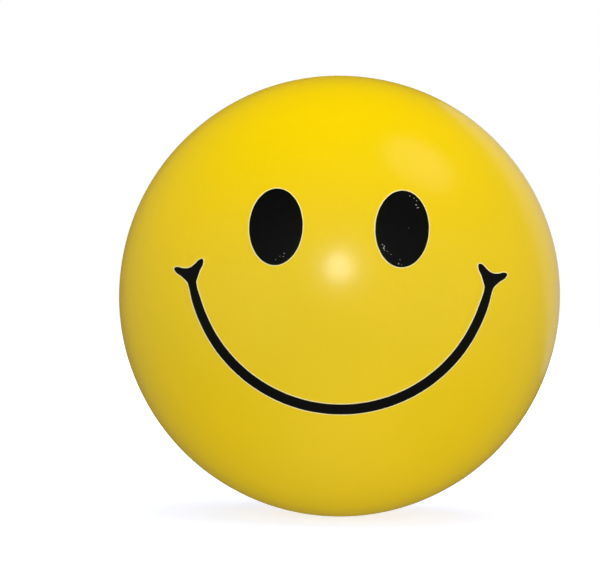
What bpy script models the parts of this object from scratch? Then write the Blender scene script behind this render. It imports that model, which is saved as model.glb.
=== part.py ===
"""A moulded foam stress ball with a printed smiling face, modelled as the layers it is made of.

Units are metres, +Z is up and the face looks along -Y. The origin is the middle of the small
trimmed gate face at the very bottom. The foam core is cut in two at the ball's middle, so that the
upper half can be pressed down towards the lower one, which stands in for squeezing the foam.
"""
import math

import bmesh
import bpy

MM = 0.001

# The ball and its layers, from the outside in
BALL_RADIUS = 31.5 * MM
SKIN_THICKNESS = 0.6 * MM
LAYER_GAP = 0.3 * MM
GATE_RADIUS = 3.0 * MM
SEAL_EDGE_ROUNDING = 0.15 * MM
SLICES = 48

# The printed face, laid out on a flat plane in front of the ball: x to the right, y up
INK_CLEARANCE = 0.1 * MM
INK_THICKNESS = 0.25 * MM
INK_SLICES = 72
PRINT_DEPTH = 40 * MM
EYE_SPREAD = 8.4 * MM
EYE_SHIFT = -0.2 * MM
EYE_LIFT = 9.08 * MM
EYE_HALF_WIDTH = 3.58 * MM
EYE_HALF_HEIGHT = 5.14 * MM
EYE_LEAN = math.radians(1.4)
SMILE_SHIFT = 0.12 * MM
SMILE_RADIUS = 20.16 * MM
SMILE_LIFT = 5.03 * MM
SMILE_HALF_SPAN = math.radians(80)
SMILE_STRAIGHTENS_AT = math.radians(62)
SMILE_SPLAY = 0.14 * MM
SMILE_HALF_WIDTH = 0.68 * MM
SMILE_END_HALF_WIDTH = 0.62 * MM
SMILE_STEPS = 20

# A forked smile corner: two tapering prongs with round tips. Each place is how far past the stroke's end,
# then how far outwards from mid-stroke
FORK_ROOT = (0.8 * MM, 0.0)
FORK_NOTCH = (2.0 * MM, 0.1 * MM)
FORK_OUTER_TIP = (2.1 * MM, 1.9 * MM)
FORK_INNER_TIP = (2.6 * MM, -1.7 * MM)
FORK_TIP_RADIUS = 0.35 * MM
FORK_TIP_LENGTH = 0.7 * MM
FORK_NEAR_HALF_WIDTH = 0.5 * MM
FORK_HALF_WIDTH = 0.6 * MM
FORK_STARTS = 0.3 * MM

# Values that follow from those above
SKIN_INNER_RADIUS = BALL_RADIUS - SKIN_THICKNESS
CORE_RADIUS = SKIN_INNER_RADIUS - LAYER_GAP
SEAL_RADIUS = GATE_RADIUS - LAYER_GAP
BALL_CENTRE_Z = math.sqrt(BALL_RADIUS**2 - GATE_RADIUS**2)
SEAL_THICKNESS = BALL_CENTRE_Z - CORE_RADIUS - LAYER_GAP
INK_INNER_RADIUS = BALL_RADIUS + INK_CLEARANCE
INK_OUTER_RADIUS = INK_INNER_RADIUS + INK_THICKNESS

# Each finish: its colour and roughness
SKIN_YELLOW = ((0.80, 0.52, 0.02), 0.28)
FOAM_CREAM = ((0.78, 0.70, 0.46), 0.95)
SEAL_YELLOW = ((0.70, 0.43, 0.02), 0.5)
INK_BLACK = ((0.012, 0.012, 0.014), 0.25)

# How the meshes are made
WELD_DISTANCE = 0.001 * MM
SMOOTH_BELOW = math.radians(35)
BEVEL_ABOVE = math.radians(60)
PRINT_CURVE_STEPS = 3
EYE_POINTS = 8


def clear_scene():
    for obj in list(bpy.data.objects):
        bpy.data.objects.remove(obj, do_unlink=True)


def new_collection(name):
    collection = bpy.data.collections.new(name)
    bpy.context.scene.collection.children.link(collection)
    return collection


def new_material(name, finish):
    colour, roughness = finish
    material = bpy.data.materials.new(name)
    material.use_nodes = True
    shader = material.node_tree.nodes["Principled BSDF"]
    shader.inputs["Base Color"].default_value = (*colour, 1.0)
    shader.inputs["Roughness"].default_value = roughness
    shader.inputs["Metallic"].default_value = 0.0
    material.diffuse_color = (*colour, 1.0)
    return material


def new_object(name, data, collection, material=None, location=(0.0, 0.0, 0.0)):
    obj = bpy.data.objects.new(name, data)
    obj.location = location
    collection.objects.link(obj)
    if material:
        data.materials.append(material)
    return obj


def put_under(parent, pieces):
    """The pieces follow the empty parent, and stay where they are."""
    for piece in pieces:
        piece.parent = parent
        piece.location -= parent.location


def as_mesh(obj):
    """A plain mesh object in place of a curve or a modified object, with its loose caps joined up."""
    bpy.context.view_layer.update()
    evaluated = obj.evaluated_get(bpy.context.evaluated_depsgraph_get())
    mesh = bpy.data.meshes.new_from_object(evaluated)
    welded = bmesh.new()
    welded.from_mesh(mesh)
    bmesh.ops.remove_doubles(welded, verts=welded.verts, dist=WELD_DISTANCE)
    welded.to_mesh(mesh)
    welded.free()
    mesh.shade_smooth()
    mesh.set_sharp_from_angle(angle=SMOOTH_BELOW)
    name, collection, place = obj.name, obj.users_collection[0], obj.matrix_world.copy()
    bpy.data.objects.remove(obj, do_unlink=True)
    made = new_object(name, mesh, collection)
    made.matrix_world = place
    return made


def arc(radius, start, end):
    """Points (x, z) down a circle about the ball's centre, at equal angles from the top, and at the end."""
    step = 2 * math.pi / SLICES
    inside = [step * i for i in range(SLICES) if start < step * i < end - step / 4]
    return [(radius * math.sin(a), radius * math.cos(a)) for a in (start, *inside, end)]


def turned(name, profile, collection, material=None, centre_z=BALL_CENTRE_Z, slices=SLICES):
    """The outline (x, z), which runs down the outer side, turned once round the Z axis."""
    mesh = bpy.data.meshes.new(name)
    points = [(x, 0.0, z) for x, z in profile]
    mesh.from_pydata(points, [(i, i + 1) for i in range(len(points) - 1)], [])
    obj = new_object(name, mesh, collection, material, (0.0, 0.0, centre_z))
    screw = obj.modifiers.new("turn", "SCREW")
    screw.axis = "Z"
    screw.steps = slices
    screw.render_steps = slices
    screw.use_merge_vertices = True
    screw.merge_threshold = WELD_DISTANCE
    return as_mesh(obj)


def gate_angle(radius):
    return math.pi - math.asin(GATE_RADIUS / radius)


def make_skin(collection):
    """The dense coloured skin: a thin round shell that is open only at the gate."""
    outer = arc(BALL_RADIUS, 0.0, gate_angle(BALL_RADIUS))
    inner = arc(SKIN_INNER_RADIUS, 0.0, gate_angle(SKIN_INNER_RADIUS))
    return turned("skin", outer + inner[::-1], collection, new_material("skin_yellow", SKIN_YELLOW))


def make_core(collection, material):
    """The soft foam core, as two half balls with a gap at the ball's middle, upper half first."""
    half_gap = math.asin(LAYER_GAP / 2 / CORE_RADIUS)
    upper = arc(CORE_RADIUS, 0.0, math.pi / 2 - half_gap)
    lower = arc(CORE_RADIUS, math.pi / 2 + half_gap, math.pi)
    return (
        turned("foam_core_upper", upper + [(0.0, upper[-1][1])], collection, material),
        turned("foam_core_lower", [(0.0, lower[0][1])] + lower, collection, material),
    )


def make_gate_seal(collection):
    """The round patch that closes the pouring gate; its underside is the ball's only flat."""
    profile = [(0.0, SEAL_THICKNESS), (SEAL_RADIUS, SEAL_THICKNESS), (SEAL_RADIUS, 0.0), (0.0, 0.0)]
    seal = turned("gate_seal", profile, collection, new_material("seal_yellow", SEAL_YELLOW), 0.0)
    rounding = seal.modifiers.new("edge", "BEVEL")
    rounding.width = SEAL_EDGE_ROUNDING
    rounding.segments = 2
    rounding.limit_method = "ANGLE"
    rounding.angle_limit = BEVEL_ABOVE
    return seal


def make_ink_shell(collection):
    """A cutter: the thin layer just outside the skin that the print fills."""
    outer = arc(INK_OUTER_RADIUS, 0.0, math.pi)
    inner = arc(INK_INNER_RADIUS, 0.0, math.pi)
    shell = turned("ink_layer", outer, collection, slices=INK_SLICES)
    hollow = turned("ink_layer_hollow", inner, collection, slices=INK_SLICES)
    cut = shell.modifiers.new("hollow", "BOOLEAN")
    cut.operation = "DIFFERENCE"
    cut.object = hollow
    for cutter in (shell, hollow):
        cutter.hide_render = True
        cutter.display_type = "WIRE"
    return shell


def printed(name, spline_points, centre_x, lift, shell, collection, material):
    """A closed outline on the front plane, pushed back through the ball and kept where the ink is."""
    curve = bpy.data.curves.new(name, "CURVE")
    curve.dimensions = "2D"
    curve.fill_mode = "BOTH"
    curve.extrude = PRINT_DEPTH / 2
    curve.resolution_u = PRINT_CURVE_STEPS
    spline = curve.splines.new("BEZIER")
    spline.bezier_points.add(len(spline_points) - 1)
    spline.use_cyclic_u = True
    for point, (x, y) in zip(spline.bezier_points, spline_points):
        point.co = (x, y, 0.0)
        point.handle_left_type = "AUTO"
        point.handle_right_type = "AUTO"
    place = (centre_x, -PRINT_DEPTH / 2, BALL_CENTRE_Z + lift)
    obj = new_object(name, curve, collection, material, place)
    obj.rotation_euler = (math.pi / 2, 0.0, 0.0)
    obj = as_mesh(obj)
    keep = obj.modifiers.new("ink", "BOOLEAN")
    keep.operation = "INTERSECT"
    keep.object = shell
    return as_mesh(obj)


def eye_outline():
    points = []
    for step in range(EYE_POINTS):
        angle = 2 * math.pi * step / EYE_POINTS
        x, y = EYE_HALF_WIDTH * math.cos(angle), EYE_HALF_HEIGHT * math.sin(angle)
        points.append((
            x * math.cos(EYE_LEAN) + y * math.sin(EYE_LEAN),
            y * math.cos(EYE_LEAN) - x * math.sin(EYE_LEAN),
        ))
    return points


def stroke_point(angle, outwards):
    """A point on the smile, by its angle from straight down and its distance out from mid-stroke."""
    past = max(0.0, abs(angle) - SMILE_STRAIGHTENS_AT) / (SMILE_HALF_SPAN - SMILE_STRAIGHTENS_AT)
    radius = SMILE_RADIUS + SMILE_SPLAY * past**2 + outwards
    return (radius * math.sin(angle), -radius * math.cos(angle))


def stroke_half_width(angle):
    taper = (angle / SMILE_HALF_SPAN) ** 2
    return SMILE_HALF_WIDTH + (SMILE_END_HALF_WIDTH - SMILE_HALF_WIDTH) * taper


def prong(tip, far_side):
    """One prong from its far flank round its tip; far_side is 1 outwards of mid-stroke, -1 inwards."""
    run, rise = tip[0] - FORK_ROOT[0], tip[1] - FORK_ROOT[1]
    length = math.hypot(run, rise)
    along = (run / length, rise / length)
    across = (-along[1] * far_side, along[0] * far_side)

    def place(start, forwards, sideways):
        return tuple(start[k] + along[k] * forwards + across[k] * sideways for k in (0, 1))

    return [
        place(FORK_ROOT, length / 2, FORK_HALF_WIDTH),
        place(tip, 0.0, FORK_TIP_RADIUS), place(tip, FORK_TIP_RADIUS, 0.0), place(tip, 0.0, -FORK_TIP_RADIUS),
        place(tip, -FORK_TIP_LENGTH, -FORK_NEAR_HALF_WIDTH),
    ]


def smile_corner(side):
    """The forked corner at the right (side 1) or left (side -1) end, from its outer edge round."""
    angle = side * SMILE_HALF_SPAN
    end_x, end_y = stroke_point(angle, 0.0)
    on_x, on_y = side * math.cos(angle), side * math.sin(angle)
    out_x, out_y = math.sin(angle), -math.cos(angle)
    edge = SMILE_END_HALF_WIDTH + FORK_STARTS / 2
    outline = [
        (FORK_STARTS, edge), *prong(FORK_OUTER_TIP, 1), FORK_NOTCH,
        *prong(FORK_INNER_TIP, -1)[::-1], (FORK_STARTS, -edge),
    ]
    return [(end_x + on_x * past + out_x * out, end_y + on_y * past + out_y * out) for past, out in outline]


def smile_outline():
    """The stroke's two long edges, joined by the corners; the arc's centre is at 0, 0."""
    span = [SMILE_HALF_SPAN * (2 * i / SMILE_STEPS - 1) for i in range(SMILE_STEPS + 1)]
    outer = [stroke_point(angle, stroke_half_width(angle)) for angle in span]
    inner = [stroke_point(angle, -stroke_half_width(angle)) for angle in reversed(span)]
    return outer + smile_corner(1) + inner + smile_corner(-1)[::-1]


def make_face(collection, cutters):
    ink = new_material("ink_black", INK_BLACK)
    shell = make_ink_shell(cutters)
    eyes = [
        printed(name, eye_outline(), side * EYE_SPREAD + EYE_SHIFT, EYE_LIFT, shell, collection, ink)
        for name, side in (("eye_left", -1), ("eye_right", 1))
    ]
    mouth = printed("mouth", smile_outline(), SMILE_SHIFT, SMILE_LIFT, shell, collection, ink)
    return [*eyes, mouth]


def main():
    clear_scene()
    parts = new_collection("stress_ball")
    cutters = new_collection("cutters")
    base = new_object("base_half", None, parts)
    crown = new_object("crown_half", None, parts, location=(0.0, 0.0, BALL_CENTRE_Z))
    upper_core, lower_core = make_core(parts, new_material("foam_cream", FOAM_CREAM))
    put_under(crown, [upper_core])
    put_under(base, [lower_core, make_skin(parts), make_gate_seal(parts), *make_face(parts, cutters)])


main()
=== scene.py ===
import math
import random

import bpy
import numpy as np
from mathutils import Matrix, Vector, noise
from mathutils.geometry import delaunay_2d_cdt


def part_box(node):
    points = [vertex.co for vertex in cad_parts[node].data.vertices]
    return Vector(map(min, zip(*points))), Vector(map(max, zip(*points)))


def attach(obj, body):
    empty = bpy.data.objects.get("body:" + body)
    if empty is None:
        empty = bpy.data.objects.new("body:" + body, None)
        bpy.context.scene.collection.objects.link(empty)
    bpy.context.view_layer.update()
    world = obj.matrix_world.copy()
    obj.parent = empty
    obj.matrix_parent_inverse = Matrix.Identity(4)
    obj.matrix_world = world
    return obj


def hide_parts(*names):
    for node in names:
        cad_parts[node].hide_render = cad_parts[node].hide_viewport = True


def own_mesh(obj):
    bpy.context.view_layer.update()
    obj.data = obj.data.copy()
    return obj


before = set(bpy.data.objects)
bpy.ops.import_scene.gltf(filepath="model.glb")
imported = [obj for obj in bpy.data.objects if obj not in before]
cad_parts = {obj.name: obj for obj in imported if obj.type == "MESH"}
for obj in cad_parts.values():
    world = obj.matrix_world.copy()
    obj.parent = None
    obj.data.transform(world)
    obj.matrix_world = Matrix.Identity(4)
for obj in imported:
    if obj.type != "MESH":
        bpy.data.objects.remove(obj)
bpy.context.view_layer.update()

MM = 0.001

# The ball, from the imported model
SKIN_LOW, SKIN_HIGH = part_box("skin")
RADIUS = (SKIN_HIGH.x - SKIN_LOW.x) / 2
HEIGHT = SKIN_HIGH.z
CENTRE_Z = HEIGHT - RADIUS
GATE_RADIUS = math.sqrt(RADIUS**2 - CENTRE_Z**2)
SEAL_LOW, SEAL_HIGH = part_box("gate_seal")
CORE_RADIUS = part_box("foam_core_lower")[1].x
CORE_SPLIT_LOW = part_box("foam_core_lower")[1].z
CORE_SPLIT_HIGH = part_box("foam_core_upper")[0].z

# The skin
SKIN_THICKNESS = 0.6 * MM
SKIN_ROWS = 150
SKIN_INNER_ROWS = 48
COLUMNS_PER_QUARTER = 36
PARTING_OFFSETS = [0.0, 0.05, 0.1, 0.15, 0.21, 0.3, 0.45, 0.8]
PARTING_HEIGHT = 0.035 * MM
PARTING_HALF_WIDTH = 0.13 * MM
PARTING_SECTOR = math.radians(30)
PARTING_FINENESS = 0.11
PARTING_SHARE = 0.75
PARTING_SWING = 0.5
GATE_ROUNDING = 0.14 * MM
GATE_ROUNDING_STEPS = 3
GATE_CALM = 7.0 * MM
# Gentle swells of the surface: how fine the noise is, how high they go in mm, and where the noise is read
SWELLS = [(0.055, 0.05), (0.16, 0.016)]
SWELL_SHIFT = Vector((7.1, 3.3, 9.7))

# The printed face, as in the CAD: in mm, x to the right and y up on a flat plane in front of the ball
EYE_SPREAD = 8.4
EYE_SHIFT = -0.2
EYE_LIFT = 9.08
EYE_HALF_WIDTH = 3.58
EYE_HALF_HEIGHT = 5.14
EYE_LEAN = math.radians(1.4)
SMILE_SHIFT = 0.12
SMILE_RADIUS = 20.16
SMILE_LIFT = 5.03
SMILE_HALF_SPAN = math.radians(80)
SMILE_STRAIGHTENS_AT = math.radians(62)
SMILE_SPLAY = 0.14
SMILE_HALF_WIDTH = 0.68
SMILE_END_HALF_WIDTH = 0.62
SMILE_STEPS = 20
# A forked smile corner: how far past the stroke's end, then how far outwards from mid-stroke
FORK_ROOT = (0.8, 0.0)
FORK_NOTCH = (2.0, 0.1)
FORK_OUTER_TIP = (2.1, 1.9)
FORK_INNER_TIP = (2.6, -1.7)
FORK_TIP_RADIUS = 0.35
FORK_TIP_LENGTH = 0.7
FORK_NEAR_HALF_WIDTH = 0.5
FORK_HALF_WIDTH = 0.6
FORK_STARTS = 0.3
EYE_POINTS = 20
OUTLINE_STEP = 0.14

# The film of ink, in mm over the skin; its rounded edge is (how far in, how high)
INK_EDGE = [(0.0, 0.018), (0.03, 0.045), (0.08, 0.055)]
INK_HEIGHT = 0.05
INK_BURIED = -0.04
INK_GRID = 0.42
GRID_CLEAR = 0.6
GRID_ROW = 0.866
MARGIN_WIDTH = 0.15
MARGIN_HEIGHT = 0.012
MARGIN_OVERLAP = 0.03
MARGIN_TOP_SHARE = 0.9

# Pale grains caught in the ink, in loose clusters: which eye (1 is the right), the angle round the eye, how
# far that spreads, how far out from its middle, how many grains
GRAIN_CLUSTERS = [
    (1, 60, 20, 0.85, 7),
    (1, 225, 15, 0.88, 6),
    (1, 262, 8, 0.92, 3),
    (1, 0, 5, 0.2, 1),
    (-1, 290, 20, 0.88, 4),
]
GRAIN_DRIFT = (-0.12, 0.08)
GRAIN_SIZES = (0.035, 0.1)
GRAIN_UNEVEN = (0.45, 1.25)

# The touched-up gate: a rippled disc (radians a mm), then its rounded edge
SEAL_GAP = 0.05 * MM
SEAL_THICKNESS = (SEAL_HIGH.z - SEAL_LOW.z) * 0.7
SEAL_STEPS = 14
SEAL_COLUMNS = 72
SEAL_DIP = 0.012 * MM
SEAL_RIPPLE = 0.01 * MM
SEAL_RIPPLE_TURN = 9.0
SEAL_EDGE = 0.12 * MM
SEAL_EDGE_IN = 0.04 * MM
SEAL_EDGE_UP = 0.03 * MM
SEAL_ROUGH = 0.008 * MM
SEAL_FINENESS = 1.7

# The foam core, with its open cells (how fine the noise is, how near a cell's middle they start, how deep)
CORE_GAP = 0.1 * MM
CORE_ROWS = 56
CORE_CUT_ROWS = 40
CORE_COLUMNS = 160
CELL_FINENESS = 0.55
CELL_REACH = 0.5
CELL_DEPTH = 0.35 * MM

# The floor: half its side, how far it lies under the ball, and from where to where its painted shadow pales to
# white, in mm
FLOOR_HALF = 3.0
FLOOR_DROP = 0.02 * MM
PAINTED_SHADOW_PALES = (60.0, 420.0)

# The camera: how far it stands from the ball's middle, then in mm its sensor and lens, and how far right of and
# below the sensor's middle the ball's middle falls
CAMERA_DISTANCE = 0.400
SENSOR = 36.0
LENS = 167.46
BALL_RIGHT = 2.358
BALL_DOWN = 0.48
ROLL = math.radians(1.0)

WHITE = (1.0, 1.0, 1.0)
WARM = (1.0, 0.9, 0.85)

# The light. The room, as soft white lobes: where from, how bright
LOBE_POWER = 4.0
LOBES = [
    ((-1, -1, 0), 0.6), ((1, -1, 0), 0.6), ((0, -1, 0.5), 0.45), ((0, -1, -1), 0.45), ((0, 0, -1), 0.3),
    ((-1, 0, 0), 0.3), ((1, 0, 0), 0.3), ((-1, 1, 0), 0.15), ((1, 1, 0), 0.15),
]
# White lamps: name, where from, how far, how wide, watts. The key and its glow make the spot between the eyes
LAMPS = [
    ("key", (0, -1, 0.25), 0.6, 0.14, 0.5),
    ("key_glow", (0, -1, 0.25), 0.6, 0.35, 0.15),
    ("window", (0.5, -0.1, 0.85), 0.6, 0.3, 0.2),
    ("rim", (0.5, 0.85, 0.2), 0.9, 0.7, 0.4),
]
# Broad lamps that light the surface but aren't reflected in it: name, where from, watts, colour
SHADE_DISTANCE = 0.9
SHADE_SIZE = 1.1
SHADE_LAMPS = [
    ("top", (0, 0, 1), 5.5, WHITE),
    ("top_left", (-1, 0, 1), 2.5, WARM),
    ("top_right", (1, 0, 1), 2.5, WARM),
    ("side_left", (-1, 0.5, 0), 0.8, WARM),
    ("side_right", (1, 0.5, 0), 1.2, WARM),
    ("low", (0.2, -0.2, -1), 3.4, WARM),
    ("back", (0, 1, 0), 2.5, WHITE),
    ("low_back", (0, 1, -1), 1.5, WARM),
]


def link(obj):
    bpy.context.scene.collection.objects.link(obj)
    return obj


def mesh_object(name, points, faces, smooth=True):
    mesh = bpy.data.meshes.new(name)
    mesh.from_pydata([tuple(p) for p in points], [], [tuple(f) for f in faces])
    mesh.validate()
    if smooth:
        mesh.shade_smooth()
    obj = link(bpy.data.objects.new(name, mesh))
    remember_rest(obj)
    return obj


def remember_rest(obj):
    """Keeps each point's place at rest, in mm, so that the material stays put when the ball is squeezed."""
    co = np.zeros(len(obj.data.vertices) * 3, np.float32)
    obj.data.vertices.foreach_get("co", co)
    rest = obj.data.attributes.new("rest_mm", "FLOAT_VECTOR", "POINT")
    rest.data.foreach_set("vector", co / MM)


# ---------------------------------------------------------------- the skin

def relief(direction):
    """How far the skin stands off the true ball in this direction, in metres."""
    p = direction * (RADIUS / MM)
    off = sum(MM * height * noise.noise(p * scale + SWELL_SHIFT) for scale, height in SWELLS)
    flat = math.hypot(direction.x, direction.y) * RADIUS
    from_gate = flat if direction.z < 0 else RADIUS
    calm = min(1.0, max(0.0, (from_gate - GATE_RADIUS) / GATE_CALM))
    ridge = PARTING_HEIGHT * math.exp(-((direction.y * RADIUS / PARTING_HALF_WIDTH) ** 2))
    ridge *= PARTING_SHARE + PARTING_SWING * noise.noise(p * PARTING_FINENESS)
    return (off + ridge) * calm * calm * (3 - 2 * calm)


def row_azimuths(flat_radius):
    """Where the columns of one row go round: bunched beside the parting line, even elsewhere."""
    count = len(PARTING_OFFSETS)
    quarter = []
    for i, offset in enumerate(PARTING_OFFSETS):
        free = math.asin(min(1.0, offset * MM / max(flat_radius, 1e-9)))
        quarter.append(min(free, PARTING_SECTOR * i / count))
    last = quarter[-1]
    quarter += [last + (math.pi / 2 - last) * (i + 1) / COLUMNS_PER_QUARTER for i in range(COLUMNS_PER_QUARTER)]
    half = quarter + [math.pi - a for a in quarter[-2::-1]]
    return half[:-1] + [a + math.pi for a in half[:-1]]


def skin_profile():
    """Rows (distance from the axis, height over the ball's middle, follows the relief), outside first."""
    gate = math.pi - math.asin((GATE_RADIUS + GATE_ROUNDING) / RADIUS)
    rows = []
    for i in range(1, SKIN_ROWS + 1):
        angle = gate * i / SKIN_ROWS
        rows.append((RADIUS * math.sin(angle), RADIUS * math.cos(angle), True))
    bottom = rows[-1][1]
    for i in range(1, GATE_ROUNDING_STEPS + 1):
        turn = math.pi / 2 * i / GATE_ROUNDING_STEPS
        rows.append((
            GATE_RADIUS + GATE_ROUNDING * (1 - math.sin(turn)),
            bottom + GATE_ROUNDING * (1 - math.cos(turn)), False,
        ))
    inner = RADIUS - SKIN_THICKNESS
    inner_gate = math.pi - math.asin(GATE_RADIUS / inner)
    for i in range(SKIN_INNER_ROWS, 0, -1):
        angle = inner_gate * i / SKIN_INNER_ROWS
        rows.append((inner * math.sin(angle), inner * math.cos(angle), False))
    return rows


def revolve(rows, top, end):
    """Points and faces of rows turned round the Z axis, closed by the points top and end on the axis."""
    points, faces = [], []
    width = 0
    for flat, z, follows in rows:
        ring = row_azimuths(flat)
        width = len(ring)
        for a in ring:
            p = Vector((flat * math.cos(a), flat * math.sin(a), z))
            if follows:
                p *= 1 + relief(p.normalized()) / RADIUS
            points.append(p + Vector((0, 0, CENTRE_Z)))
    for r in range(len(rows) - 1):
        for c in range(width):
            d = (c + 1) % width
            faces.append((r * width + c, (r + 1) * width + c, (r + 1) * width + d, r * width + d))
    first, last = len(points), len(points) + 1
    points += [Vector((0, 0, CENTRE_Z + top)), Vector((0, 0, CENTRE_Z + end))]
    base = (len(rows) - 1) * width
    for c in range(width):
        d = (c + 1) % width
        faces.append((first, c, d))
        faces.append((last, base + d, base + c))
    return points, faces


def make_skin():
    up = Vector((0, 0, 1))
    points, faces = revolve(skin_profile(), RADIUS + relief(up), RADIUS - SKIN_THICKNESS)
    return mesh_object("ball_skin", points, faces)


# ---------------------------------------------------------------- the print

def sampled(points):
    """A closed smooth curve through the points, as evenly spaced points (x, y)."""
    curve = bpy.data.curves.new("outline", "CURVE")
    curve.dimensions = "3D"
    curve.resolution_u = 16
    spline = curve.splines.new("BEZIER")
    spline.bezier_points.add(len(points) - 1)
    spline.use_cyclic_u = True
    for point, (x, y) in zip(spline.bezier_points, points):
        point.co = (x, y, 0.0)
        point.handle_left_type = "AUTO"
        point.handle_right_type = "AUTO"
    obj = link(bpy.data.objects.new("outline", curve))
    bpy.context.view_layer.update()
    line = np.array([v.co[:2] for v in obj.to_mesh().vertices])
    obj.to_mesh_clear()
    bpy.data.objects.remove(obj)
    closed = np.vstack([line, line[:1]])
    along = np.concatenate([[0], np.cumsum(np.linalg.norm(np.diff(closed, axis=0), axis=1))])
    count = int(along[-1] / OUTLINE_STEP)
    at = np.linspace(0, along[-1], count, endpoint=False)
    line = np.stack([np.interp(at, along, closed[:, k]) for k in (0, 1)], axis=1)
    nxt = np.roll(line, -1, axis=0)
    area = np.sum(line[:, 0] * nxt[:, 1] - line[:, 1] * nxt[:, 0])
    return line if area > 0 else line[::-1]


def inset(line, distance):
    """The closed line, moved inwards by the distance, or outwards if it is negative."""
    along = np.roll(line, -1, axis=0) - np.roll(line, 1, axis=0)
    along /= np.linalg.norm(along, axis=1)[:, None]
    return line + distance * np.stack([-along[:, 1], along[:, 0]], axis=1)


def fill_points(line, spacing, clear):
    """Points on a staggered grid inside the closed line, clear of it."""
    lo, hi = line.min(0), line.max(0)
    found = []
    rows = int((hi[1] - lo[1]) / (spacing * GRID_ROW)) + 1
    for r in range(rows):
        y = lo[1] + r * spacing * GRID_ROW
        x = np.arange(lo[0] + (r % 2) * spacing / 2, hi[0], spacing)
        if len(x) == 0:
            continue
        p = np.stack([x, np.full(len(x), y)], axis=1)
        nxt = np.roll(line, -1, axis=0)
        crosses = ((line[None, :, 1] > y) != (nxt[None, :, 1] > y)) & (
            p[:, None, 0] < (nxt[None, :, 0] - line[None, :, 0]) * (y - line[None, :, 1])
            / np.where(nxt[:, 1] == line[:, 1], 1e-12, nxt[:, 1] - line[:, 1])[None, :] + line[None, :, 0]
        )
        inside = crosses.sum(1) % 2 == 1
        far = np.linalg.norm(p[:, None, :] - line[None, :, :], axis=2).min(1) > clear
        found.append(p[inside & far])
    return np.vstack(found) if found else np.zeros((0, 2))


def on_ball(x, y, height):
    """The point in front of (x, y) on the face plane, in mm from the ball's middle, on the skin plus height."""
    r = RADIUS / MM
    direction = Vector((x, -math.sqrt(max(0.0, r * r - x * x - y * y)), y)).normalized()
    reach = RADIUS + relief(direction) + height * MM
    return direction * reach + Vector((0, 0, CENTRE_Z))


def printed(name, line, centre):
    """A thin film of ink inside the closed line, with a rounded edge and a slightly raised rim."""
    loops = [inset(line, d) for d, _ in INK_EDGE]
    heights = [h for _, h in INK_EDGE]
    inner = loops[-1]
    extra = fill_points(inner, INK_GRID, INK_GRID * GRID_CLEAR)
    flat = np.vstack([inner, extra])
    n = len(line)
    edges = [(i, (i + 1) % n) for i in range(n)]
    _, _, tris, sources, _, _ = delaunay_2d_cdt([Vector(p) for p in flat], edges, [], 1, 1e-6)
    place = [s[0] if s else None for s in sources]
    shift = Vector(centre)

    def lifted(p, h):
        return on_ball(p[0] + shift.x, p[1] + shift.y, h)

    points, faces = [], []
    bottom = len(points)
    points += [lifted(p, INK_BURIED) for p in line]
    bottom_inner = len(points)
    points += [lifted(p, INK_BURIED) for p in extra]
    rings = []
    for loop, h in zip(loops, heights):
        rings.append(len(points))
        points += [lifted(p, h) for p in loop]
    top_extra = len(points)
    points += [lifted(p, INK_HEIGHT) for p in extra]

    def index(v, ring, more):
        k = place[v]
        return ring + k if k < n else more + (k - n)

    for t in tris:
        top = [index(v, rings[-1], top_extra) for v in t]
        under = [index(v, bottom, bottom_inner) for v in t]
        faces.append(tuple(top))
        faces.append(tuple(under[::-1]))
    for a, b in zip([bottom, *rings], rings):
        for i in range(n):
            j = (i + 1) % n
            faces.append((a + i, a + j, b + j, b + i))
    return mesh_object(name, points, faces)


def margin(name, line, centre):
    """The thin pale border round a print: a flat ring just proud of the skin."""
    n = len(line)
    under_ink = inset(line, MARGIN_OVERLAP)
    top_edge = inset(line, -MARGIN_WIDTH * MARGIN_TOP_SHARE)
    outside = inset(line, -MARGIN_WIDTH)
    loops = [
        (under_ink, INK_BURIED), (under_ink, MARGIN_HEIGHT), (top_edge, MARGIN_HEIGHT), (outside, INK_BURIED),
    ]
    points, faces = [], []
    for loop, h in loops:
        points += [on_ball(p[0] + centre[0], p[1] + centre[1], h) for p in loop]
    for k in range(len(loops)):
        a, b = k * n, ((k + 1) % len(loops)) * n
        for i in range(n):
            j = (i + 1) % n
            faces.append((a + i, b + i, b + j, a + j))
    return mesh_object(name, points, faces)


def make_grains(name, side):
    """Specks of dust that sit half sunk in the ink of one eye."""
    corners = [Vector(v) for v in ((1, 0, 0), (0, 1, 0), (-1, 0, 0), (0, -1, 0), (0, 0, 1), (0, 0, -1))]
    eighths = [(0, 1, 4), (1, 2, 4), (2, 3, 4), (3, 0, 4), (1, 0, 5), (2, 1, 5), (3, 2, 5), (0, 3, 5)]
    points, faces = [], []
    places = [
        (math.radians(angle + random.uniform(-spread, spread)), out + random.uniform(*GRAIN_DRIFT))
        for which, angle, spread, out, count in GRAIN_CLUSTERS if which == side for _ in range(count)
    ]
    for turn, out in places:
        size = random.triangular(*GRAIN_SIZES, GRAIN_SIZES[0])
        x = EYE_SHIFT + side * EYE_SPREAD + out * EYE_HALF_WIDTH * math.cos(turn)
        y = EYE_LIFT + out * EYE_HALF_HEIGHT * math.sin(turn)
        middle = on_ball(x, y, INK_HEIGHT)
        found, start = {}, len(points)

        def corner(v):
            key = tuple(round(c, 4) for c in v)
            if key not in found:
                found[key] = len(points)
                points.append(middle + v.normalized() * size * MM * random.uniform(*GRAIN_UNEVEN))
            return found[key]

        for a, b, c in eighths:
            a, b, c = corners[a], corners[b], corners[c]
            ab, bc, ca = (a + b) / 2, (b + c) / 2, (c + a) / 2
            for face in ((a, ab, ca), (ab, b, bc), (ca, bc, c), (ab, bc, ca)):
                faces.append(tuple(corner(v) for v in face))
    return mesh_object(name, points, faces)


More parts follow.
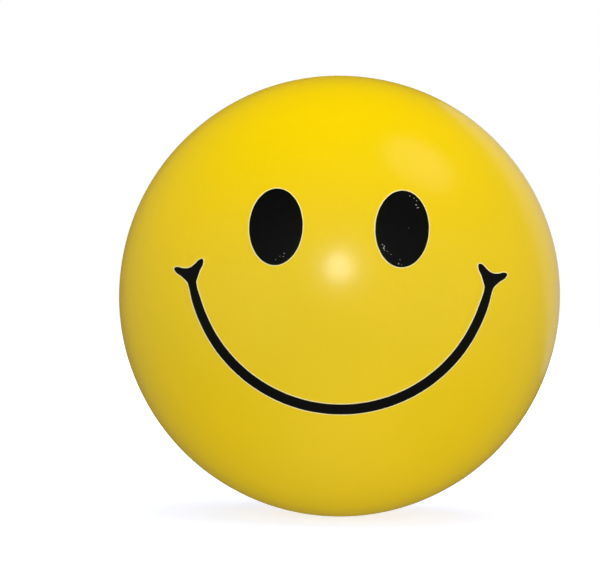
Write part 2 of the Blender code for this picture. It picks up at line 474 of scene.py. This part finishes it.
def eye_outline():
    points = []
    for step in range(EYE_POINTS):
        angle = 2 * math.pi * step / EYE_POINTS
        x, y = EYE_HALF_WIDTH * math.cos(angle), EYE_HALF_HEIGHT * math.sin(angle)
        points.append((
            x * math.cos(EYE_LEAN) + y * math.sin(EYE_LEAN),
            y * math.cos(EYE_LEAN) - x * math.sin(EYE_LEAN),
        ))
    return points


def stroke_point(angle, outwards):
    """A point on the smile, by its angle from straight down and its distance out from mid-stroke."""
    past = max(0.0, abs(angle) - SMILE_STRAIGHTENS_AT) / (SMILE_HALF_SPAN - SMILE_STRAIGHTENS_AT)
    radius = SMILE_RADIUS + SMILE_SPLAY * past**2 + outwards
    return (radius * math.sin(angle), -radius * math.cos(angle))


def stroke_half_width(angle):
    taper = (angle / SMILE_HALF_SPAN) ** 2
    return SMILE_HALF_WIDTH + (SMILE_END_HALF_WIDTH - SMILE_HALF_WIDTH) * taper


def prong(tip, far_side):
    """One prong from its far flank round its tip; far_side is 1 outwards of mid-stroke, -1 inwards."""
    run, rise = tip[0] - FORK_ROOT[0], tip[1] - FORK_ROOT[1]
    length = math.hypot(run, rise)
    along = (run / length, rise / length)
    across = (-along[1] * far_side, along[0] * far_side)

    def place(start, forwards, sideways):
        return tuple(start[k] + along[k] * forwards + across[k] * sideways for k in (0, 1))

    return [
        place(FORK_ROOT, length / 2, FORK_HALF_WIDTH),
        place(tip, 0.0, FORK_TIP_RADIUS), place(tip, FORK_TIP_RADIUS, 0.0), place(tip, 0.0, -FORK_TIP_RADIUS),
        place(tip, -FORK_TIP_LENGTH, -FORK_NEAR_HALF_WIDTH),
    ]


def smile_corner(side):
    """The forked corner at the right (side 1) or left (side -1) end, from its outer edge round."""
    angle = side * SMILE_HALF_SPAN
    end_x, end_y = stroke_point(angle, 0.0)
    on_x, on_y = side * math.cos(angle), side * math.sin(angle)
    out_x, out_y = math.sin(angle), -math.cos(angle)
    edge = SMILE_END_HALF_WIDTH + FORK_STARTS / 2
    outline = [
        (FORK_STARTS, edge), *prong(FORK_OUTER_TIP, 1), FORK_NOTCH,
        *prong(FORK_INNER_TIP, -1)[::-1], (FORK_STARTS, -edge),
    ]
    return [(end_x + on_x * past + out_x * out, end_y + on_y * past + out_y * out) for past, out in outline]


def smile_outline():
    """The stroke's two long edges, joined by the corners; the arc's centre is at 0, 0."""
    span = [SMILE_HALF_SPAN * (2 * i / SMILE_STEPS - 1) for i in range(SMILE_STEPS + 1)]
    outer = [stroke_point(angle, stroke_half_width(angle)) for angle in span]
    inner = [stroke_point(angle, -stroke_half_width(angle)) for angle in reversed(span)]
    return outer + smile_corner(1) + inner + smile_corner(-1)[::-1]


# ---------------------------------------------------------------- the gate and the foam

def make_seal():
    """The touched-up spot over the gate: a shallow disc, trimmed flat, with a rounded edge."""
    radius = GATE_RADIUS - SEAL_GAP
    flats = [radius * i / SEAL_STEPS for i in range(1, SEAL_STEPS - 1)]
    rows = [(r, SEAL_DIP + SEAL_RIPPLE * math.sin(r / MM * SEAL_RIPPLE_TURN)) for r in flats]
    rows += [(radius - SEAL_EDGE, 0.0), (radius - SEAL_EDGE_IN, SEAL_EDGE_UP), (radius, SEAL_EDGE)]
    rows += [(radius * share, SEAL_THICKNESS) for share in (1.0, 0.6, 0.2)]
    points, faces = [], []
    for r, z in rows:
        for c in range(SEAL_COLUMNS):
            a = 2 * math.pi * c / SEAL_COLUMNS
            p = Vector((r * math.cos(a), r * math.sin(a), z))
            if 0 < z < SEAL_EDGE_UP:
                p.z += SEAL_ROUGH * (1 + noise.noise(Vector((p.x, p.y, 0)) / MM * SEAL_FINENESS))
            points.append(p)
    for k in range(len(rows) - 1):
        for c in range(SEAL_COLUMNS):
            d = (c + 1) % SEAL_COLUMNS
            near, far = k * SEAL_COLUMNS, (k + 1) * SEAL_COLUMNS
            faces.append((near + c, far + c, far + d, near + d))
    points += [Vector((0, 0, SEAL_DIP)), Vector((0, 0, SEAL_THICKNESS))]
    first, last = len(points) - 2, len(points) - 1
    base = (len(rows) - 1) * SEAL_COLUMNS
    for c in range(SEAL_COLUMNS):
        d = (c + 1) % SEAL_COLUMNS
        faces.append((first, c, d))
        faces.append((last, base + d, base + c))
    return mesh_object("gate_spot", points, faces)


def make_core(name, sign, split_z):
    """Half of the foam core, with open cells on its cut face and its outside."""
    radius = CORE_RADIUS - CORE_GAP
    cut_z = split_z - CENTRE_Z
    edge = math.acos(abs(cut_z) / radius)
    turns = [edge * i / CORE_ROWS for i in range(1, CORE_ROWS + 1)]
    rows = [(radius * math.sin(turn), sign * radius * math.cos(turn)) for turn in turns]
    rows += [(rows[-1][0] * (1 - i / CORE_CUT_ROWS), cut_z) for i in range(1, CORE_CUT_ROWS)]
    points, faces = [], []
    for k, (r, z) in enumerate(rows):
        for c in range(CORE_COLUMNS):
            a = 2 * math.pi * c / CORE_COLUMNS
            p = Vector((r * math.cos(a), r * math.sin(a), z))
            nearest = noise.voronoi(p / MM * CELL_FINENESS)[0][0]
            pit = CELL_DEPTH * max(0.0, CELL_REACH - nearest)
            if k == CORE_ROWS:
                inward = Vector((0, 0, 0))
            else:
                inward = Vector((0, 0, sign)) if k > CORE_ROWS else -p.normalized()
            points.append(p + inward * pit + Vector((0, 0, CENTRE_Z)))
    for k in range(len(rows) - 1):
        for c in range(CORE_COLUMNS):
            d = (c + 1) % CORE_COLUMNS
            near, far = k * CORE_COLUMNS, (k + 1) * CORE_COLUMNS
            face = (near + c, far + c, far + d, near + d)
            faces.append(face if sign > 0 else face[::-1])
    points += [Vector((0, 0, CENTRE_Z + sign * radius)), Vector((0, 0, CENTRE_Z + cut_z))]
    first, last = len(points) - 2, len(points) - 1
    base = (len(rows) - 1) * CORE_COLUMNS
    for c in range(CORE_COLUMNS):
        d = (c + 1) % CORE_COLUMNS
        ends = [(first, c, d), (last, base + d, base + c)]
        faces += ends if sign > 0 else [f[::-1] for f in ends]
    return mesh_object(name, points, faces)


# ---------------------------------------------------------------- materials

class Nodes:
    """A material's node tree, with its shader and its rest coordinates in mm."""

    def __init__(self, name):
        self.material = bpy.data.materials.new(name)
        self.material.use_nodes = True
        self.tree = self.material.node_tree
        self.shader = self.tree.nodes["Principled BSDF"]
        self.place = self.tree.nodes.new("ShaderNodeAttribute")
        self.place.attribute_name = "rest_mm"

    def set(self, **values):
        for key, value in values.items():
            self.shader.inputs[key.replace("_", " ")].default_value = value

    def noise(self, scale, detail=2.0, roughness=0.5, distortion=0.0):
        node = self.tree.nodes.new("ShaderNodeTexNoise")
        node.inputs["Scale"].default_value = scale
        node.inputs["Detail"].default_value = detail
        node.inputs["Roughness"].default_value = roughness
        node.inputs["Distortion"].default_value = distortion
        self.tree.links.new(self.place.outputs["Vector"], node.inputs["Vector"])
        return node.outputs["Fac"]

    def cells(self, scale):
        node = self.tree.nodes.new("ShaderNodeTexVoronoi")
        node.inputs["Scale"].default_value = scale
        self.tree.links.new(self.place.outputs["Vector"], node.inputs["Vector"])
        return node.outputs["Distance"]

    def ramp(self, source, *stops):
        node = self.tree.nodes.new("ShaderNodeValToRGB")
        elements = node.color_ramp.elements
        for _ in range(len(stops) - 2):
            elements.new(0.5)
        for element, (at, colour) in zip(elements, stops):
            element.position = at
            element.color = (*colour, 1.0) if hasattr(colour, "__len__") else (colour, colour, colour, 1.0)
        self.tree.links.new(source, node.inputs["Fac"])
        return node.outputs["Color"]

    def multiply(self, a, b):
        node = self.tree.nodes.new("ShaderNodeMix")
        node.data_type = "RGBA"
        node.blend_type = "MULTIPLY"
        node.inputs["Factor"].default_value = 1.0
        self.tree.links.new(a, node.inputs["A"])
        self.tree.links.new(b, node.inputs["B"])
        return node.outputs["Result"]

    def bump(self, *layers):
        """Each layer is (height source, strength, how deep in mm)."""
        last = None
        for source, strength, depth in layers:
            node = self.tree.nodes.new("ShaderNodeBump")
            node.inputs["Strength"].default_value = strength
            node.inputs["Distance"].default_value = depth * MM
            self.tree.links.new(source, node.inputs["Height"])
            if last:
                self.tree.links.new(last, node.inputs["Normal"])
            last = node.outputs["Normal"]
        self.tree.links.new(last, self.shader.inputs["Normal"])

    def drive(self, socket, source):
        self.tree.links.new(source, self.shader.inputs[socket])


def skin_material():
    m = Nodes("skin_yellow")
    m.set(IOR=1.5, Metallic=0.0, Specular_IOR_Level=0.4, Coat_Weight=0.0)
    mottle = m.ramp(m.noise(0.09, 2.0, 0.5, 0.4), (0.3, (0.845, 0.612, 0.0012)), (0.7, (0.872, 0.616, 0.0012)))
    fine = m.ramp(m.noise(2.2, 3.0), (0.3, 0.985), (0.7, 1.0))
    m.drive("Base Color", m.multiply(mottle, fine))
    m.drive("Roughness", m.ramp(m.noise(0.35, 3.0, 0.5), (0.3, 0.19), (0.7, 0.23)))
    m.bump((m.noise(0.7, 2.0), 0.05, 0.05), (m.noise(3.2, 2.0), 0.05, 0.012))
    return m.material


def ink_material():
    m = Nodes("ink_black")
    m.set(IOR=1.45, Metallic=0.0, Specular_IOR_Level=0.11)
    black = m.ramp(m.noise(1.2, 4.0, 0.6), (0.3, (0.0008, 0.0008, 0.0008)), (0.75, (0.0018, 0.0017, 0.0015)))
    m.drive("Base Color", black)
    m.drive("Roughness", m.ramp(m.noise(0.8, 3.0), (0.3, 0.36), (0.7, 0.48)))
    m.bump((m.noise(4.5, 3.0), 0.2, 0.012))
    return m.material


def margin_material():
    m = Nodes("margin_cream")
    m.set(IOR=1.45, Metallic=0.0)
    m.drive("Base Color", m.ramp(m.noise(1.6, 2.0), (0.3, (0.93, 0.82, 0.30)), (0.7, (0.97, 0.88, 0.40))))
    m.drive("Roughness", m.ramp(m.noise(2.0, 2.0), (0.3, 0.4), (0.7, 0.5)))
    m.bump((m.noise(5.0, 2.0), 0.1, 0.01))
    return m.material


def grain_material():
    m = Nodes("grain_pale")
    m.set(IOR=1.45, Metallic=0.0)
    m.drive("Base Color", m.ramp(m.noise(7.0, 2.0), (0.3, (0.60, 0.58, 0.46)), (0.7, (0.85, 0.84, 0.76))))
    m.drive("Roughness", m.ramp(m.noise(9.0, 2.0), (0.3, 0.6), (0.7, 0.8)))
    return m.material


def seal_material():
    m = Nodes("seal_yellow")
    m.set(IOR=1.5, Metallic=0.0)
    m.drive("Base Color", m.ramp(m.noise(1.4, 4.0, 0.6), (0.3, (0.60, 0.38, 0.02)), (0.7, (0.74, 0.48, 0.03))))
    m.drive("Roughness", m.ramp(m.noise(3.0, 3.0), (0.3, 0.5), (0.7, 0.7)))
    m.bump((m.noise(6.0, 4.0), 0.4, 0.03))
    return m.material


def foam_material():
    m = Nodes("foam_cream")
    m.set(IOR=1.4, Metallic=0.0)
    cells = m.cells(2.4)
    # Painted shade: darker towards each cell's middle, where the bump makes a hollow; the cream itself is the
    # foam's own colour
    cream = m.ramp(cells, (0.05, (0.50, 0.42, 0.22)), (0.35, (0.78, 0.70, 0.46)), (0.7, (0.84, 0.77, 0.54)))
    m.drive("Base Color", cream)
    m.drive("Roughness", m.ramp(m.noise(1.0, 3.0), (0.3, 0.88), (0.7, 0.98)))
    m.bump((cells, 0.7, 0.15), (m.noise(9.0, 3.0), 0.3, 0.04))
    return m.material


def floor_material():
    """The floor glows: a painted shadow, darker and bluish near the ball, and white further out, like the
    background.
    """
    m = Nodes("floor_painted_shadow")
    m.set(IOR=1.4, Metallic=0.0, Roughness=0.9, Specular_IOR_Level=0.1, Emission_Strength=1.0)
    from_ball = m.tree.nodes.new("ShaderNodeVectorMath")
    from_ball.operation = "LENGTH"
    m.tree.links.new(m.place.outputs["Vector"], from_ball.inputs[0])
    reach = m.tree.nodes.new("ShaderNodeMapRange")
    reach.interpolation_type = "SMOOTHSTEP"
    reach.inputs["From Min"].default_value, reach.inputs["From Max"].default_value = PAINTED_SHADOW_PALES
    m.tree.links.new(from_ball.outputs["Value"], reach.inputs["Value"])
    # Painted shadow: the floor's glow is darker and bluish near the ball and pales to white further out
    m.drive("Emission Color", m.ramp(reach.outputs["Result"], (0.0, (0.58, 0.62, 0.75)), (1.0, WHITE)))
    m.drive("Base Color", m.ramp(m.noise(0.02, 2.0), (0.3, (0.50, 0.52, 0.58)), (0.7, (0.52, 0.54, 0.60))))
    return m.material


# ---------------------------------------------------------------- putting it together

def dress(obj, material, body, stands_for=None, squash=None):
    """Gives a piece its material and its body; given a squash height, the piece gets a mesh of its own."""
    obj.data.materials.append(material)
    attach(obj, body)
    if stands_for:
        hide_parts(stands_for)
    if squash is not None:
        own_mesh(obj)
    return obj


def make_ball():
    skin = dress(make_skin(), skin_material(), "base_half", "skin", 0.0)
    foam = foam_material()
    lower = make_core("foam_lower", -1, CORE_SPLIT_LOW)
    dress(lower, foam, "base_half", "foam_core_lower", 0.0)
    upper = make_core("foam_upper", 1, CORE_SPLIT_HIGH)
    dress(upper, foam, "crown_half", "foam_core_upper", HEIGHT)
    dress(make_seal(), seal_material(), "base_half", "gate_seal")


def make_print():
    ink, cream, grains = ink_material(), margin_material(), grain_material()
    eye, smile = sampled(eye_outline()), sampled(smile_outline())
    prints = [
        ("eye_left", eye, (EYE_SHIFT - EYE_SPREAD, EYE_LIFT)),
        ("eye_right", eye, (EYE_SHIFT + EYE_SPREAD, EYE_LIFT)),
        ("mouth", smile, (SMILE_SHIFT, SMILE_LIFT)),
    ]
    for node, line, centre in prints:
        dress(printed(node + "_ink", line, centre), ink, "base_half", node, 0.0)
        dress(margin(node + "_margin", line, centre), cream, "base_half", squash=0.0)
    for name, side in (("eye_left_grains", -1), ("eye_right_grains", 1)):
        dress(make_grains(name, side), grains, "base_half", squash=0.0)


def make_stage():
    """The floor, which shows to the camera but neither lights the ball nor is reflected in it."""
    half = FLOOR_HALF
    corners = [(-half, -half, 0), (half, -half, 0), (half, half, 0), (-half, half, 0)]
    floor = mesh_object("floor", corners, [(0, 1, 2, 3)], False)
    floor.location.z = -FLOOR_DROP
    floor.data.materials.append(floor_material())
    floor.visible_diffuse = False
    floor.visible_glossy = False
    floor.visible_shadow = False


def make_world():
    """A white surround for the camera, and soft light from a few broad directions for everything else."""
    world = bpy.data.worlds.new("studio")
    world.use_nodes = True
    bpy.context.scene.world = world
    tree = world.node_tree
    tree.nodes.clear()

    def node(kind, operation=None, *inputs):
        made = tree.nodes.new(kind)
        if operation:
            made.operation = operation
        for i, value in enumerate(inputs):
            if isinstance(value, bpy.types.NodeSocket):
                tree.links.new(value, made.inputs[i])
            elif value is not None:
                made.inputs[i].default_value = value
        return made

    ray = node("ShaderNodeTexCoord").outputs["Generated"]
    total = 0.0
    for direction, bright in LOBES:
        towards = tuple(Vector(direction).normalized())
        facing = node("ShaderNodeVectorMath", "DOT_PRODUCT", ray, towards).outputs["Value"]
        facing = node("ShaderNodeMath", "MAXIMUM", facing, 0.0).outputs[0]
        share = node("ShaderNodeMath", "POWER", facing, LOBE_POWER).outputs[0]
        total = node("ShaderNodeMath", "MULTIPLY_ADD", share, bright, total).outputs[0]
    lit = node("ShaderNodeBackground", None, total).outputs[0]
    seen = node("ShaderNodeBackground", None, (1.0, 1.0, 1.0, 1.0)).outputs[0]
    camera_ray = node("ShaderNodeLightPath").outputs["Is Camera Ray"]
    mixed = node("ShaderNodeMixShader", None, camera_ray, lit, seen).outputs[0]
    node("ShaderNodeOutputWorld", None, mixed)


def make_light(name, direction, distance, size, power, colour):
    """A round area light that faces the ball's middle."""
    light = bpy.data.lights.new(name, "AREA")
    light.shape = "DISK"
    light.size = size
    light.energy = power
    light.color = colour
    obj = link(bpy.data.objects.new(name, light))
    towards = Vector(direction).normalized()
    obj.location = Vector((0, 0, CENTRE_Z)) + towards * distance
    obj.rotation_mode = "QUATERNION"
    obj.rotation_quaternion = towards.to_track_quat("Z", "Y")
    obj.visible_camera = False
    return obj


def make_lights():
    for name, direction, distance, size, power in LAMPS:
        make_light(name, direction, distance, size, power, WHITE)
    for name, direction, power, colour in SHADE_LAMPS:
        lamp = make_light(name, direction, SHADE_DISTANCE, SHADE_SIZE, power, colour)
        lamp.visible_glossy = False
        if hasattr(lamp.data, "cycles"):
            # Rays that find the lamp by chance would bring some of its reflection back
            lamp.data.cycles.use_multiple_importance_sampling = False


def make_camera():
    camera = link(bpy.data.objects.new("camera", bpy.data.cameras.new("camera")))
    camera.data.sensor_width = SENSOR
    camera.data.lens = LENS
    camera.data.clip_start = 0.01
    camera.data.clip_end = 20.0
    right = Vector((math.cos(ROLL), 0.0, math.sin(ROLL)))
    up = Vector((-math.sin(ROLL), 0.0, math.cos(ROLL)))
    level = Matrix((right, up, right.cross(up))).transposed()
    ball_in_view = Vector((BALL_RIGHT, -BALL_DOWN, -LENS)).normalized()
    aim = ball_in_view.rotation_difference(Vector((0, 0, -1))).to_matrix()
    camera.matrix_world = Matrix.Translation((0, -CAMERA_DISTANCE, CENTRE_Z)) @ (level @ aim).to_4x4()
    bpy.context.scene.camera = camera


random.seed(7)
make_ball()
make_print()
make_stage()
make_world()
make_lights()
make_camera()
bpy.context.scene.view_settings.view_transform = "Standard"
bpy.context.view_layer.update()
